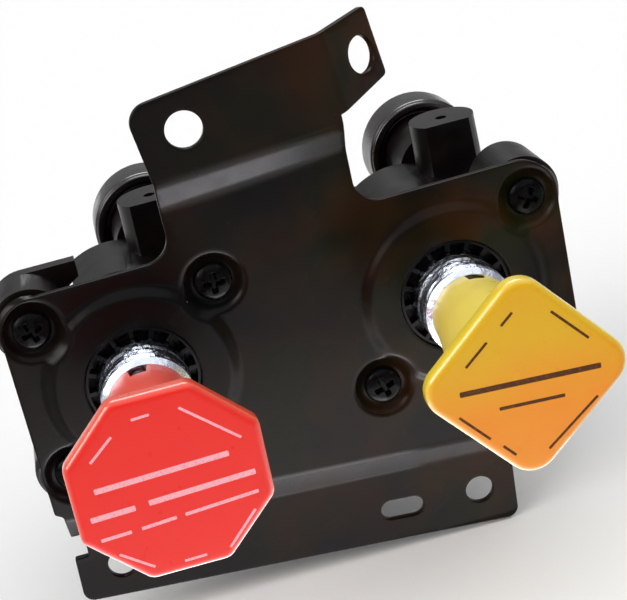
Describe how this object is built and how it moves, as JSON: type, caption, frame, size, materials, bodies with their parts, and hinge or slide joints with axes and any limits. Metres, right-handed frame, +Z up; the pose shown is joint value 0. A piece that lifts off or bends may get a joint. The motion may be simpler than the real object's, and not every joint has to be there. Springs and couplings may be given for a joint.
{
  "type": "dash control valve",
  "caption": "Twin push-pull air control valve for a vehicle dash, on a bent steel mounting plate, with a red eight-sided knob and a yellow square knob.",
  "frame": {"origin": "midpoint between the two plunger axes, on the front face of the mounting plate", "axes": "+X to the right as the driver sees it, +Y from the knobs to the rear ports, +Z up"},
  "size_m": [0.1436, 0.1389, 0.1419],
  "materials": {
    "black_enamel": "glossy",
    "black_screw_steel": "satin",
    "black_nylon": "satin",
    "seal_rubber": "matte",
    "turned_brass": "turned",
    "white_acetal": "satin",
    "spring_steel": "drawn",
    "red_plastic": "satin",
    "yellow_plastic": "satin",
    "bright_chrome": "polished",
    "bare_aluminium": "turned"
  },
  "bodies": {
    "base": {"mounting_plate": "black_enamel", "plate_screws": "black_screw_steel", "valve_body": "black_nylon", "manifold_gasket": "seal_rubber", "rear_manifold": "black_nylon", "manifold_screws": "black_screw_steel", "port_inserts": "turned_brass", "left_port_cap": "black_nylon", "right_port_cap": "black_nylon", "cap_seals": "seal_rubber", "red_guide_ring": "black_nylon", "red_wiper_ring": "seal_rubber", "red_return_spring": "spring_steel", "red_spring_seat": "spring_steel", "yellow_guide_ring": "black_nylon", "yellow_wiper_ring": "seal_rubber", "yellow_return_spring": "spring_steel", "yellow_spring_seat": "spring_steel"},
    "red_plunger_body": {"red_knob": "red_plastic", "red_plunger": "bright_chrome", "red_knob_pin": "spring_steel", "red_spool": "bare_aluminium", "red_spool_seals": "seal_rubber", "red_retaining_clip": "spring_steel"},
    "yellow_plunger_body": {"yellow_knob": "yellow_plastic", "yellow_plunger": "bright_chrome", "yellow_knob_pin": "spring_steel", "yellow_spool": "bare_aluminium", "yellow_spool_seals": "seal_rubber", "yellow_retaining_clip": "spring_steel"},
    "shuttle_body": {"check_shuttle": "white_acetal"}
  },
  "joints": [
    {"name": "red_push", "type": "slide", "parent": "base", "child": "red_plunger_body", "axis": [0, 1, 0], "range_m": [0, 0.0127], "stiffness_N_per_m": 700, "springref_m": -0.01, "deforming": ["red_return_spring"]},
    {"name": "yellow_push", "type": "slide", "parent": "base", "child": "yellow_plunger_body", "axis": [0, 1, 0], "range_m": [0, 0.0127], "stiffness_N_per_m": 700, "springref_m": -0.01, "deforming": ["yellow_return_spring"]},
    {"name": "shuttle_shift", "type": "slide", "parent": "base", "child": "shuttle_body", "axis": [1, 0, 0], "range_m": [-0.002, 0.002]}
  ]
}
